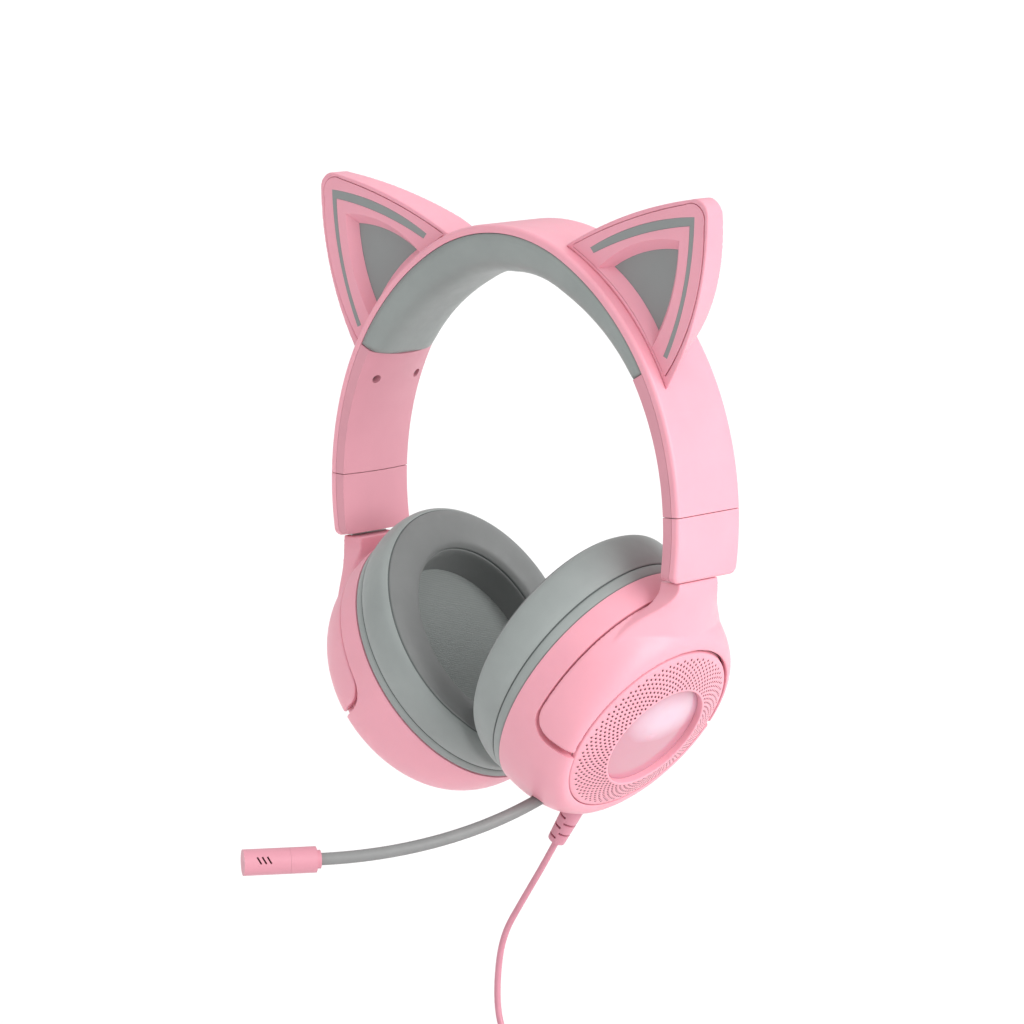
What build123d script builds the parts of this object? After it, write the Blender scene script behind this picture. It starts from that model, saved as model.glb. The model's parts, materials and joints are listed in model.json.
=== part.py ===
"""Over-ear gaming headset with cat-ear light housings on its headband.

Frame: origin on the underside of the crown pad, where it rests on the head.
+X is the wearer's left, -Y is the wearer's front, +Z is up.  Millimetres.
The left half is modelled and the right half is its mirror, except for what only
the left cup holds: microphone, controls and cable.
"""
from build123d import *
from math import asin, cos, degrees, pi, radians, sin, sqrt, tan
import os

# ---------------------------------------------------------------- driving dimensions
BAND_WIDTH = 34.0            # along Y
BAND_WALL = 2.0
ARCH_RADII = (64.0, 98.0, 112.2)     # parting line of the band: crown, shoulder, leg
ARCH_TURNS = (29.3, 69.8)            # degrees from the crown where the radius changes
CROWN_DEPTH = 15.0           # parting line to pad underside at the crown
SHELL_RISE = 3.0             # outer shell above the parting line
PAD_END = 60.2               # degrees from the crown
SEAM = 87.9
LEG_END = 99.9

CUP_Y = -2.5                 # cups sit slightly forward of the band
CUP_X = 58.5                 # centre of the grille disc
CUP_Z = -160.0
CUP_TILT = 33.6              # bottoms of the cups lean towards each other
DISC_R = 36.0
FLANGE_DEPTH = 27.5          # grille face to cushion seam
FLANGE_A = 50.0              # half height of the cup at the cushion seam
FLANGE_B = 44.0              # half width there
RIM_R = 36.7                 # edge of the dome round the grille disc
SKIN = 2.0
GRILLE_RISE = 4.4            # the perforated cone stands out towards its middle
EYE_R = 21.5                 # central opening of the cone
LENS_SINK = 2.5              # lens below the edge of that opening
GAP_Z = -17.0                # lower edge of the yoke shield, in cup depth
YOKE_END_V = -4.0            # lowest point of the yoke's two arms
YOKE_CORNER = 8.0            # rounding of the arms' lower corners
PIVOT_V = 2.0
PIVOT_Z = -8.0
PIVOT_R = 2.0

FACE_TILT = 31.0             # the ear side of the cushion is a slight wedge
FACE_IN = 20.2
FACE_UP = 3.3
FACE_A = 46.5
FACE_B = 43.1
HOLLOW_A = 34.6
HOLLOW_B = 29.6
HOLLOW_DROP = 2.8            # the hollow sits a little low in the face
CLOTH_LIFT = 5.2             # foam disc under the driver's cloth
MIDLINE_GAP = 0.6            # the pressed cushions stop just short of the middle

WHEEL = (36.6, -13.0)        # volume wheel at the rear edge of the left cup
WHEEL_R = 7.0
WHEEL_Z = (-24.2, -21.2)
AXLE_R = 1.2
CUP_SCREWS = ((-28.0, 22.0), (28.0, 22.0), (-30.0, -20.0), (24.0, -33.0))

STRIP_X = 80.2               # spring steel strip that slides inside the band's ends
STRIP_T = 1.6
STRIP_W = 18.0
STRIP_TOP = -66.5
STRIP_LENGTH = 42.0

NECK_OUT = 82.5              # yoke neck under the band's ends, in X
NECK_IN = 73.3
NECK_TOP = -103.4
NECK_W = 21.0

BUTTON_V = -27.0             # mute button on the rear edge of the left cup
BUTTON_Z = -21.0

BOOM_D = 4.4
CABLE_D = 2.4
FLOOR_Z = -300.0
COIL_R = 14.5                # mean radius of the put-away coil
COIL_HALF_W = 6.2
COIL_H = 9.8
COIL_X = 12.0
COIL_Y = 11.5
STRAP_T = 0.8                # tie round the coil

GRIP = (24.0, 14.5, 8.0)     # overmould of the plug
USB = (18.75, 12.0, 4.5)     # USB type A shell
PLUG_X = 32.0                # rear face of the grip
PLUG_Y = COIL_Y - 22.0
PLUG_Z = FLOOR_Z + GRIP[2] / 2

parts = {}


# ---------------------------------------------------------------- the band's arch
def arch_centres():
    """Centres (x, z) of the three tangent arcs of the parting line."""
    top = CROWN_DEPTH
    centres = [(0.0, top - ARCH_RADII[0])]
    for i, turn in enumerate(ARCH_TURNS):
        step = ARCH_RADII[i] - ARCH_RADII[i + 1]
        x, z = centres[-1]
        centres.append((x + step * sin(radians(turn)), z + step * cos(radians(turn))))
    return centres


CENTRES = arch_centres()


def arch(angle, off, y=0.0):
    """Point of the arch at an angle from the crown (negative to the right), offset outwards."""
    a = abs(angle)
    i = 0 if a <= ARCH_TURNS[0] else 1 if a <= ARCH_TURNS[1] else 2
    cx, cz = CENTRES[i]
    r = ARCH_RADII[i] + off
    x = cx + r * sin(radians(a))
    return Vector(x if angle >= 0 else -x, y, cz + r * cos(radians(a)))


def arch_edges(off, start, end, y):
    """Tangent arcs of one offset of the parting line, from start to end."""
    stops = sorted({start, end, *[t for t in (-69.8, -29.3, 29.3, 69.8) if start < t < end]})
    edges = []
    for a, b in zip(stops, stops[1:]):
        edges.append(ThreePointArc(arch(a, off, y), arch((a + b) / 2, off, y), arch(b, off, y)))
    return edges


def ribbon(off_in, off_out, start, end, y0, y1):
    """Solid between two offsets of the arch and between two Y planes."""
    outer = arch_edges(off_out, start, end, y0)
    inner = arch_edges(off_in, start, end, y0)
    ends = [Line(arch(a, off_in, y0), arch(a, off_out, y0)) for a in (start, end)]
    face = make_face(Wire([*outer, *inner, *ends]))
    return extrude(face, amount=y1 - y0, dir=(0, 1, 0))


def d_section(angle, edge, mid, half, outer=-0.15):
    """Closed D-shaped section: flat on the parting line, crowned towards the head."""
    a = arch(angle, outer, -half)
    b = arch(angle, -edge, -half)
    m = arch(angle, -mid, 0)
    c = arch(angle, -edge, half)
    d = arch(angle, outer, half)
    return make_face(Wire([Line(a, b), ThreePointArc(b, m, c), Line(c, d), Line(d, a)]))


def d_loft(stations, half, outer=-0.15):
    """Loft through D sections, trimmed on its outer side to the exact arch."""
    sections = [d_section(s[0], s[1], s[2], half, 3.0) for s in stations]
    body = loft(sections)
    trim = ribbon(outer, 14.0, stations[0][0] - 6, stations[-1][0] + 6, -half - 5, half + 5)
    return body - trim


def both_sides(name, solid):
    """Store a left-hand solid and its mirror image."""
    parts[name + "_l"] = solid
    parts[name + "_r"] = mirror(solid, about=Plane.YZ)


def radial_plane(angle, off, y):
    """Plane with its normal pointing out of the band at that place."""
    p = arch(angle, off, y)
    n = (arch(angle, off + 1.0, y) - p).normalized()
    return Plane(origin=p, x_dir=(0, 1, 0), z_dir=n)


# ---------------------------------------------------------------- headband
SCREW_ANGLE = 67.6
SCREW_YS = (-9.5, 12.3)
HALF = BAND_WIDTH / 2


def band_outer_shell():
    shell = ribbon(0, SHELL_RISE, -SEAM, SEAM, -HALF, HALF)
    shell = fillet(rim_edges(shell, SHELL_RISE), 1.5)
    shell -= ribbon(-1, SHELL_RISE - BAND_WALL, -SEAM - 1, SEAM + 1, -HALF + 1.8, HALF - 1.8)
    for side in (-1, 1):
        for y in SCREW_YS:
            base = radial_plane(side * SCREW_ANGLE, -1.8, y)
            shell += extrude(base * Circle(2.4), amount=3.3)
            shell -= extrude(base * Circle(1.05), amount=3.0)
    return shell


def rim_edges(solid, off):
    """Long outer edges of a ribbon, on its two sides."""
    found = []
    for e in solid.edges():
        m = e.position_at(0.5)
        if abs(abs(m.Y) - HALF) < 0.01 and e.length > 8:
            for i, c in enumerate(CENTRES):
                r = sqrt((abs(m.X) - c[0]) ** 2 + (m.Z - c[1]) ** 2)
                if abs(r - ARCH_RADII[i] - off) < 0.02:
                    found.append(e)
                    break
    return found


def band_pad():
    half_stations = [(0, 9.5, 15.0), (30, 8.6, 13.6), (PAD_END, 4.8, 8.8)]
    stations = [(-a, e, m) for a, e, m in reversed(half_stations[1:])] + half_stations
    pad = d_loft(stations, HALF - 0.1)
    return pad - ribbon(-2.4, 1, -PAD_END - 1, PAD_END + 1, -13.5, 13.5)


def inner_cover():
    outer = d_loft([(PAD_END + 0.15, 4.8, 8.8), (74, 4.3, 6.6), (SEAM, 4.0, 5.4)], HALF)
    inner = d_loft([(PAD_END - 0.5, 2.9, 6.9), (74, 2.5, 4.8), (SEAM + 0.5, 2.2, 3.6)], HALF - 1.8)
    cover = outer - inner
    cover += ribbon(-6.6, -1.0, PAD_END + 0.15, PAD_END + 2.0, -HALF + 1.0, HALF - 1.0) & outer
    for y in SCREW_YS:
        cover -= extrude(radial_plane(SCREW_ANGLE, -12, y) * Circle(1.75), amount=11)
        well = radial_plane(SCREW_ANGLE, -6.5, y)
        tube = extrude(well * Circle(2.7), amount=4.2) & outer
        cover += tube - extrude(well * Circle(1.75), amount=4.2)
    return cover


def cover_screws():
    group = []
    for y in SCREW_YS:
        shaft = extrude(radial_plane(SCREW_ANGLE, -3.4, y) * Circle(1.0), amount=4.0)
        head = extrude(radial_plane(SCREW_ANGLE, -4.2, y) * Circle(1.65), amount=1.2)
        group.append(head + shaft)
    return Compound(group)


def strip_slot(extra):
    width = STRIP_W + 2 * extra
    return Pos(STRIP_X, CUP_Y, -100) * Box(STRIP_T + 2 * extra, width, 60)


def low_corners(solid):
    """Short edges where the band's lower end meets its two sides."""
    low = arch(LEG_END, 0, 0)
    along = arch(LEG_END + 0.5, 0, 0) - low
    found = []
    for e in solid.edges():
        a, b = e.position_at(0), e.position_at(1)
        on_side = min(abs(a.Y), abs(b.Y)) > HALF - 0.01 and a.Y * b.Y > 0
        if on_side and max(abs((p - low).dot(along)) for p in (a, b)) < 0.1:
            found.append(e)
    return found


def end_cap_outer():
    cap = ribbon(0, SHELL_RISE, SEAM + 0.15, LEG_END, -HALF, HALF)
    cap = fillet(low_corners(cap), 3.0)
    cap = fillet(rim_edges(cap, SHELL_RISE), 1.5)
    cap -= ribbon(-1, SHELL_RISE - BAND_WALL, SEAM - 1, LEG_END - 1.0, -HALF + 1.8, HALF - 1.8)
    return cap - strip_slot(0.4)


def end_cap_inner():
    outer = d_loft([(SEAM + 0.15, 4.0, 5.4), (94, 3.9, 5.2), (LEG_END, 3.8, 5.0)], HALF)
    outer = fillet(low_corners(outer), 3.0)
    inner = d_loft([(SEAM - 0.5, 2.2, 3.6), (93, 2.1, 3.5), (LEG_END - 1.0, 2.0, 3.3)], HALF - 1.8)
    return outer - inner - strip_slot(0.4)


# ---------------------------------------------------------------- cat ears
EAR_FRONT = -11.5            # y of the front face
EAR_BACK = 5.0
EAR_TIP_BACK = -4.6
EAR_HEEL = 58.0              # the rear of the ear ends this far from the crown, in degrees
EAR_SIDE_BOW = 4.8           # how far the leg side of the ear bows outwards


def ear_outline(inset, y, foot=0.0, leg_angle=65.4):
    """Convex triangle standing on the band, open towards the crown and the leg."""
    tip_in = Vector(86.2 - 1.2 * inset, y, 31.4 - inset)
    tip_out = Vector(93.9 - inset, y, 24.8 - 1.2 * inset)
    tip_mid = Vector(92.2 - 0.8 * inset, y, 30.0 - 0.95 * inset)
    crown = arch(24.0 + 1.6 * inset, 2.0 + foot, y)
    leg = arch(leg_angle - 1.6 * inset, 2.0 + foot, y)
    top_mid = Vector(60.8, y, 25.6 - inset)
    chord = tip_out - leg
    side_mid = (tip_out + leg) / 2 + Vector(chord.Z, 0, -chord.X).normalized() * EAR_SIDE_BOW
    edges = [
        ThreePointArc(crown, top_mid, tip_in),
        ThreePointArc(tip_in, tip_mid, tip_out),
        ThreePointArc(tip_out, side_mid, leg),
        *arch_edges(2.0 + foot, 24.0 + 1.6 * inset, leg_angle - 1.6 * inset, y),
    ]
    return make_face(Wire(edges))


def ear_body():
    body = loft([ear_outline(0, EAR_FRONT), ear_outline(0, EAR_BACK, leg_angle=EAR_HEEL)])
    foot = arch(45, 2.0, 0)
    tip = Vector(92.5, 0, 30.5)
    rise = (tip - foot)
    along = rise.normalized()
    slope = Vector(along.X * rise.length, EAR_TIP_BACK - EAR_BACK, along.Z * rise.length).normalized()
    side = Vector(-along.Z, 0, along.X)
    normal = slope.cross(side)
    if normal.Y < 0:
        normal = -normal
    cutter = Plane(origin=Vector(foot.X, EAR_BACK + 1.0, foot.Z), x_dir=side, z_dir=normal)
    body -= extrude(cutter * Rectangle(300, 300), amount=40)
    return body - ribbon(-5, SHELL_RISE, 10, 80, -HALF, HALF)


def ear_shell():
    body = ear_body()
    pocket = extrude(ear_outline(1.8, EAR_FRONT - 1, 2.4), amount=3.2, dir=(0, 1, 0))
    hollow = extrude(ear_outline(3.0, EAR_FRONT, 2.6), amount=5.2, dir=(0, 1, 0))
    return body - pocket - hollow


def chevron(y, depth, clear=0.0):
    """Light strip with its point at the ear's tip: a long upper stroke and a narrower leg stroke."""
    crown, tip, leg = Vector(39.8, y, 11.9), Vector(87.9, y, 25.4), Vector(75.4, y, -24.8)
    top_mid, side_mid = Vector(61.0, y, 20.6), Vector(84.2, y, -0.6)
    wide, narrow = 3.0 + clear, 1.7 + clear
    inner_tip = tip + Vector(-2.2 - clear, 0, -3.2 - clear)
    edges = [
        ThreePointArc(crown, top_mid + Vector(0, 0, clear), tip),
        ThreePointArc(tip, side_mid + Vector(clear, 0, 0), leg),
        Line(leg, leg + Vector(-narrow, 0, 0.8)),
        ThreePointArc(leg + Vector(-narrow, 0, 0.8), side_mid + Vector(-narrow, 0, -0.4), inner_tip),
        ThreePointArc(inner_tip, top_mid + Vector(0.8, 0, -wide), crown + Vector(1.6, 0, -wide + 1.2)),
        Line(crown + Vector(1.6, 0, -wide + 1.2), crown),
    ]
    return extrude(make_face(Wire(edges)), amount=depth, dir=(0, 1, 0))


def triangle(y, grow):
    """Rounded inner triangle of the ear."""
    a = Vector(48.2 - 1.4 * grow, y, 5.4 - 0.2 * grow)
    b = Vector(77.4 + grow, y, 13.2 + grow)
    c = Vector(68.6, y, -15.6 - 1.6 * grow)
    mids = [Vector(63, y, 11.6 + grow), Vector(74.6 + grow, y, -1.6), Vector(59.4 - grow, y, -3.6 - grow)]
    wire = Wire([ThreePointArc(a, mids[0], b), ThreePointArc(b, mids[1], c), ThreePointArc(c, mids[2], a)])
    return make_face(wire)


def ear_panel():
    plate = extrude(ear_outline(1.95, EAR_FRONT, 2.55), amount=2.0, dir=(0, 1, 0))
    plate -= chevron(EAR_FRONT - 1, 4.0, 0.1)
    funnel = loft([triangle(EAR_FRONT - 0.01, 3.6), triangle(EAR_FRONT + 3.7, 0.0)])
    rim = loft([triangle(EAR_FRONT + 0.6, 5.2), triangle(EAR_FRONT + 3.6, 1.6)])
    inside = extrude(ear_outline(3.3, EAR_FRONT + 0.5, 2.9), amount=8, dir=(0, 1, 0))
    panel = plate + (rim & inside) - funnel
    return panel - ribbon(-5, SHELL_RISE + 0.1, 10, 80, -HALF, HALF)


def ear_triangle():
    return extrude(triangle(EAR_FRONT + 3.7, 1.2), amount=0.8, dir=(0, 1, 0))


def ear_board():
    return extrude(triangle(EAR_FRONT + 4.7, 1.2), amount=0.4, dir=(0, 1, 0))


# ---------------------------------------------------------------- cups
TILT = radians(CUP_TILT)
OUT = Vector(cos(TILT), 0, -sin(TILT))       # out of the grille
UP = Vector(sin(TILT), 0, cos(TILT))         # up in the plane of the cup
DISC = Vector(CUP_X, CUP_Y, CUP_Z)
CUP = Plane(origin=DISC, x_dir=(0, 1, 0), z_dir=OUT)


def cup_at(x, v, z):
    """Point given as rearwards, up the cup and out of the grille."""
    return DISC + Vector(0, x, 0) + UP * v + OUT * z


def cup_plane(z):
    return Plane(origin=DISC + OUT * z, x_dir=(0, 1, 0), z_dir=OUT)


def dome_axes(z, inset=0.0):
    """Half width and half height of the dome at a depth."""
    u = (z + FLANGE_DEPTH) / FLANGE_DEPTH
    g = sqrt(max(0.0, 1 - u * u))
    return (RIM_R + (FLANGE_B - RIM_R) * g - inset, RIM_R + (FLANGE_A - RIM_R) * g - inset)


def dome(inset, depth, floor=-FLANGE_DEPTH):
    """Solid dome; inset shrinks it sideways and depth lowers its top."""
    stops = (0.0, 0.3, 0.55, 0.75, 0.9, 1.0)
    faces = []
    for s in stops:
        z = -FLANGE_DEPTH + s * FLANGE_DEPTH
        bx, ay = dome_axes(z, inset)
        zz = floor + s * (-depth - floor)
        faces.append(cup_plane(zz) * Ellipse(bx, ay))
    return loft(faces)


def block(x0, x1, v0, v1, z0, z1):
    """Box in cup directions."""
    c = cup_at((x0 + x1) / 2, (v0 + v1) / 2, (z0 + z1) / 2)
    return Plane(origin=c, x_dir=(0, 1, 0), z_dir=OUT) * Box(x1 - x0, v1 - v0, z1 - z0)


def cup_cylinder(r, z0, z1, x=0.0, v=0.0):
    base = Plane(origin=cup_at(x, v, z0), x_dir=(0, 1, 0), z_dir=OUT)
    return extrude(base * Circle(r), amount=z1 - z0)


def pivot_rod(r, x0, x1):
    base = Plane(origin=cup_at(x0, PIVOT_V, PIVOT_Z), x_dir=UP, z_dir=(0, 1, 0))
    return extrude(base * Circle(r), amount=x1 - x0)


# Sections of the yoke neck from the band's end down into the dome: height, outer x, inner x,
# half width and how far the outer side falls back at that half width.
NECK_SECTIONS = (
    (NECK_TOP, NECK_OUT, NECK_IN, NECK_W / 2, 0.1),
    (-107.5, 82.4, 73.0, 11.4, 0.6),
    (-111.5, 82.0, 71.5, 15.0, 3.5),
    (-116.0, 81.4, 68.5, 21.5, 8.5),
    (-121.0, 80.5, 66.0, 27.0, 11.5),
    (-126.5, 79.4, 64.0, 31.0, 13.5),
)


def neck_section(z, outer, inner, half, fall, wall):
    """Flat section of the neck, with a crowned outer side."""
    outer, half = outer - wall, half - wall
    corners = [(outer - fall, half), (outer - fall / 4, half / 2), (outer, 0)]
    corners += [(x, -y) for x, y in reversed(corners[:2])]
    side = Spline([Vector(x, CUP_Y + y, z) for x, y in corners])
    back = Polyline(
        (outer - fall, CUP_Y - half, z), (inner, CUP_Y - half, z),
        (inner, CUP_Y + half, z), (outer - fall, CUP_Y + half, z),
    )
    return make_face([side, *back.edges()])


def neck_loft(wall):
    """Neck that flares from the band's end into the dome, shrunk by a wall."""
    return loft([neck_section(*row, wall) for row in NECK_SECTIONS])


def shoulder(v0, z0, radius):
    """Everything above v0 and outside z0, with the corner between them rounded."""
    corners = [(v0, 5), (v0, z0), (90, z0), (90, 5)]
    face = make_face(Polyline([cup_at(-60, v, z) for v, z in corners], close=True))
    corner = face.vertices().sort_by_distance(cup_at(-60, v0, z0))[0]
    return extrude(fillet(corner, radius), amount=120, dir=(0, 1, 0))


def neck_ribs():
    """Zigzag of thin ribs inside the open back of the neck."""
    ribs = []
    for i in range(-2, 2):
        lean = 22 if i % 2 else -22
        place = Pos(76.4, CUP_Y + 4.2 * (i + 0.5), -112.0)
        ribs.append(place * Rot(lean, 0, 0) * Box(5.4, 1.2, 17.0))
    return ribs[0] + ribs[1] + ribs[2] + ribs[3]


def yoke():
    outer, inner = dome(0, 0), dome(2.2, 2.2)
    shield = (outer - inner) & shoulder(YOKE_END_V, GAP_Z, YOKE_CORNER)
    shield -= cup_cylinder(DISC_R + 0.7, -30, 5)
    core = dome(0.6, 0.6)
    neck = neck_loft(0.0) - core
    hollow = (neck_loft(1.8) - core) - Pos(90.0, CUP_Y, -120) * Box(22, 80, 60)
    neck = (neck - hollow) + (neck_ribs() & neck)
    neck -= block(-30, 30, 30, 51.5, -40, GAP_Z)
    body = shield + neck
    roof = dome(2.5, 2.4)
    for side in (-1, 1):
        lo, hi = sorted((side * 38.6, side * 41))
        body += (pivot_rod(3.6, lo, hi) & outer) - roof
        lo, hi = sorted((side * 30, side * 40.6))
        body -= pivot_rod(PIVOT_R, lo, hi)
    slot_depth = NECK_TOP - (STRIP_TOP - STRIP_LENGTH)
    slot_at = Pos(STRIP_X, CUP_Y, NECK_TOP - slot_depth / 2 + 1)
    return body - (strip_slot(0) & slot_at * Box(10, 40, slot_depth + 2.4))


def slider_strip():
    strip = Pos(STRIP_X, CUP_Y, STRIP_TOP - STRIP_LENGTH / 2) * Box(STRIP_T, STRIP_W, STRIP_LENGTH)
    for i in range(8):
        for side in (-1, 1):
            notch = Pos(STRIP_X, CUP_Y + side * STRIP_W / 2, STRIP_TOP - 8 - 3.0 * i)
            strip -= notch * Rot(0, 90, 0) * Cylinder(0.7, STRIP_T + 1)
    return strip


def pivot_pins():
    return Compound([pivot_rod(PIVOT_R, -40.4, -34.5), pivot_rod(PIVOT_R, 34.5, 40.4)])


def cup_shell():
    outer, inner = dome(0, 0), dome(SKIN, SKIN)
    recess = shoulder(YOKE_END_V - 2.3, GAP_Z - 0.6, YOKE_CORNER + 1)
    border = shoulder(YOKE_END_V - 4.2, GAP_Z - 2.2, YOKE_CORNER + 2.7) - recess
    low_outer, low_inner = dome(2.9, 2.7), dome(4.6, 4.4)
    skirt = (outer - inner) - recess
    roof = (low_outer - low_inner) & recess
    shell = skirt + roof + ((outer - low_inner) & border)
    seat = cup_cylinder(DISC_R - 0.1, -7.0, -1.8) - cup_cylinder(DISC_R - 1.9, -8, 0)
    shell = shell - cup_cylinder(DISC_R - 0.1, -7.0, 5) + seat
    for side in (-1, 1):
        lo, hi = sorted((side * 34.5, side * 38.6))
        shell += pivot_rod(4.0, lo, hi) & (low_outer - cup_cylinder(DISC_R - 1.9, -8, 0))
        lo, hi = sorted((side * 34.0, side * 44.0))
        shell -= pivot_rod(PIVOT_R + 0.05, lo, hi)
    for x, v in CUP_SCREWS:
        post = cup_cylinder(2.8, -FLANGE_DEPTH + 2.0, -2.2, x, v) - cup_cylinder(1.05, -30, -17.0, x, v)
        shell += post & (low_outer if v > 0 else dome(1.0, 1.0))
    return shell


def cup_shell_left():
    """Left cup shell with its holes for the microphone, cable and controls."""
    shell = cup_shell()
    shell -= boom_pipe(BOOM_D / 2 + 0.3, -14, 14)
    shell -= relief_rod(4.1, -8, 6)
    shell -= cup_cylinder(WHEEL_R + 0.5, WHEEL_Z[0] - 0.5, WHEEL_Z[1] + 0.5, *WHEEL)
    return shell - button_rod(3.3, -3, 4) - button_rod(4.4, -6, -2.1)


def grille():
    """Shallow cone round the lens, with a skirt down its central opening."""
    rim = DISC_R - 0.4
    foot = rim - 2.4
    skirt = EYE_R + 1.4
    section = [
        (rim, -1.6), (rim, 0), (EYE_R + 0.8, GRILLE_RISE), (EYE_R, GRILLE_RISE), (EYE_R, -0.6),
        (skirt, -0.6), (skirt, GRILLE_RISE - 1.7), (foot, -0.8), (foot, -1.6),
    ]
    profile = make_face(Polyline([cup_at(r, 0, z) for r, z in section], close=True))
    return revolve(profile, axis=Axis(DISC, OUT), revolution_arc=360)


def centre_lens():
    """Light-spreading lens with a faint crown."""
    r = EYE_R - 0.1
    edge = GRILLE_RISE - LENS_SINK
    crown_r = 290.0
    crown = 0.8
    centre = DISC + OUT * (edge + crown - crown_r)
    cap = Plane(origin=centre, x_dir=(0, 1, 0), z_dir=OUT) * Sphere(crown_r)
    return cup_cylinder(r, -0.6, edge + crown + 0.2) & cap


def led_board():
    return cup_cylinder(15.0, -6.0, -4.8)


def baffle(with_axle):
    z0 = -FLANGE_DEPTH
    plate = extrude(cup_plane(z0) * Ellipse(FLANGE_B - 2.3, FLANGE_A - 2.3), amount=2.0)
    for x, v in CUP_SCREWS:
        plate -= cup_cylinder(2.4, z0 - 1, z0 + 1.1, x, v) + cup_cylinder(1.2, z0, z0 + 3, x, v)
    if with_axle:
        plate += cup_cylinder(AXLE_R, z0 + 2.0, WHEEL_Z[1] + 0.8, *WHEEL)
    return plate - cup_cylinder(22.5, z0 - 1, z0 + 3)


def driver_frame():
    z0 = -FLANGE_DEPTH
    ring = cup_cylinder(22.3, z0, z0 + 1.2) + cup_cylinder(20.0, z0 + 1.2, z0 + 5.5)
    return ring - cup_cylinder(11.0, z0 + 3.0, z0 + 8) - cup_cylinder(18.6, z0 - 1, z0 + 3.0)


def driver_magnet():
    return cup_cylinder(10.9, -FLANGE_DEPTH + 3.0, -FLANGE_DEPTH + 8.0)


def face_plane():
    tilt = radians(FACE_TILT)
    centre = DISC + OUT * (-FLANGE_DEPTH - FACE_IN) + UP * FACE_UP
    return Plane(origin=centre, x_dir=(0, 1, 0), z_dir=(cos(tilt), 0, -sin(tilt)))


def ear_cushion():
    base_z = -FLANGE_DEPTH - 0.2
    face = face_plane()
    mid = Plane(
        origin=(face.origin + cup_at(0, 0.6, base_z)) / 2,
        x_dir=(0, 1, 0),
        z_dir=(face.z_dir + OUT).normalized(),
    )
    rings = [cup_plane(base_z) * Ellipse(FLANGE_B - 0.2, FLANGE_A - 0.2), mid * Ellipse(44.4, 50.0)]
    body = loft([*rings, face * Ellipse(FACE_B - 1.0, FACE_A - 1.0)])
    hole_base = cup_plane(base_z + 1) * Ellipse(HOLLOW_B + 2.0, HOLLOW_A + 2.0)
    drop = face.origin - face.z_dir - UP * HOLLOW_DROP
    hole_top = Plane(origin=drop, x_dir=(0, 1, 0), z_dir=face.z_dir)
    hole = loft([hole_base, hole_top * Ellipse(HOLLOW_B, HOLLOW_A)])
    side = Pos(MIDLINE_GAP + 75, 0, CUP_Z) * Box(150, 150, 150)
    return (body - hole) & side


def driver_cloth():
    z0 = -FLANGE_DEPTH - CLOTH_LIFT
    return extrude(cup_plane(z0) * Ellipse(HOLLOW_B + 0.9, HOLLOW_A + 0.9), amount=CLOTH_LIFT - 0.3)


def cup_screws():
    z0 = -FLANGE_DEPTH
    return Compound([
        cup_cylinder(2.2, z0, z0 + 1.1, x, v) + cup_cylinder(1.0, z0 + 1.1, z0 + 8.0, x, v)
        for x, v in CUP_SCREWS
    ])


# ---------------------------------------------------------------- controls in the left cup
def volume_wheel():
    wheel = cup_cylinder(WHEEL_R, *WHEEL_Z, *WHEEL)
    wheel -= cup_cylinder(AXLE_R + 0.05, WHEEL_Z[0] - 1, WHEEL_Z[1] + 1, *WHEEL)
    for i in range(28):
        a = 2 * pi * i / 28
        x, v = WHEEL[0] + WHEEL_R * cos(a), WHEEL[1] + WHEEL_R * sin(a)
        wheel -= cup_cylinder(0.35, WHEEL_Z[0] - 1, WHEEL_Z[1] + 1, x, v)
    return wheel


def button_axis():
    """Place on the dome's rear edge and its outward direction."""
    bx, ay = dome_axes(BUTTON_Z)
    x = bx * sqrt(1 - (BUTTON_V / ay) ** 2)
    out = (Vector(0, 1, 0) * (x / bx ** 2) + UP * (BUTTON_V / ay ** 2)).normalized()
    return cup_at(x, BUTTON_V, BUTTON_Z), out


def button_rod(r, a, b):
    place, out = button_axis()
    return extrude(Plane(origin=place + out * a, z_dir=out) * Circle(r), amount=b - a)


def mute_button():
    cap = fillet(button_rod(3.0, -2.6, 1.0).edges().sort_by(Axis(*button_axis()))[-1:], 0.4)
    return cap + button_rod(3.9, -3.6, -2.6)


def main_board():
    return block(-16, 16, 6, 30, -12.2, -11.0)


# ---------------------------------------------------------------- microphone
HOLE = Vector(27.4, -25.0, -185.8)
BOOM_END = Vector(-3.5, -106.0, -198.6)
BOOM_MID = Vector(18.6, -63.0, -194.9)
BOOM_TAIL = 9.0              # arc length of the boom inside the cup
MIC_END = 27.5               # housing's length beyond the boom's end


def arc_frame(a, m, b):
    """Centre, radius and unit normal of the circle through three points."""
    u, w = m - a, b - a
    n = u.cross(w)
    centre = a + (n.cross(u) * w.dot(w) + w.cross(n) * u.dot(u)) * (1 / (2 * n.dot(n)))
    return centre, (a - centre).length, n.normalized()


BOOM_C, BOOM_R, BOOM_N = arc_frame(HOLE, BOOM_MID, BOOM_END)


def on_boom(s):
    """Point on the boom's circle, s millimetres out of the cup from the hole."""
    return (HOLE - BOOM_C).rotate(Axis((0, 0, 0), BOOM_N), degrees(s / BOOM_R)) + BOOM_C


def boom_dir(s):
    return (on_boom(s + 0.5) - on_boom(s - 0.5)).normalized()


def boom_pipe(r, s0, s1):
    path = ThreePointArc(on_boom(s0), on_boom((s0 + s1) / 2), on_boom(s1))
    section = Plane(origin=on_boom(s0), z_dir=boom_dir(s0)) * Circle(r)
    return sweep(section, path=path)


BOOM_LEN = degrees(2 * asin((BOOM_END - HOLE).length / 2 / BOOM_R)) / 180 * pi * BOOM_R


def straight_rod(r, s, a, b):
    """Round rod along the boom's direction at s, from a to b beyond that point."""
    d = boom_dir(s)
    return extrude(Plane(origin=on_boom(s) + d * a, z_dir=d) * Circle(r), amount=b - a)


def mic_boom():
    return boom_pipe(BOOM_D / 2, -BOOM_TAIL, BOOM_LEN)


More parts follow.
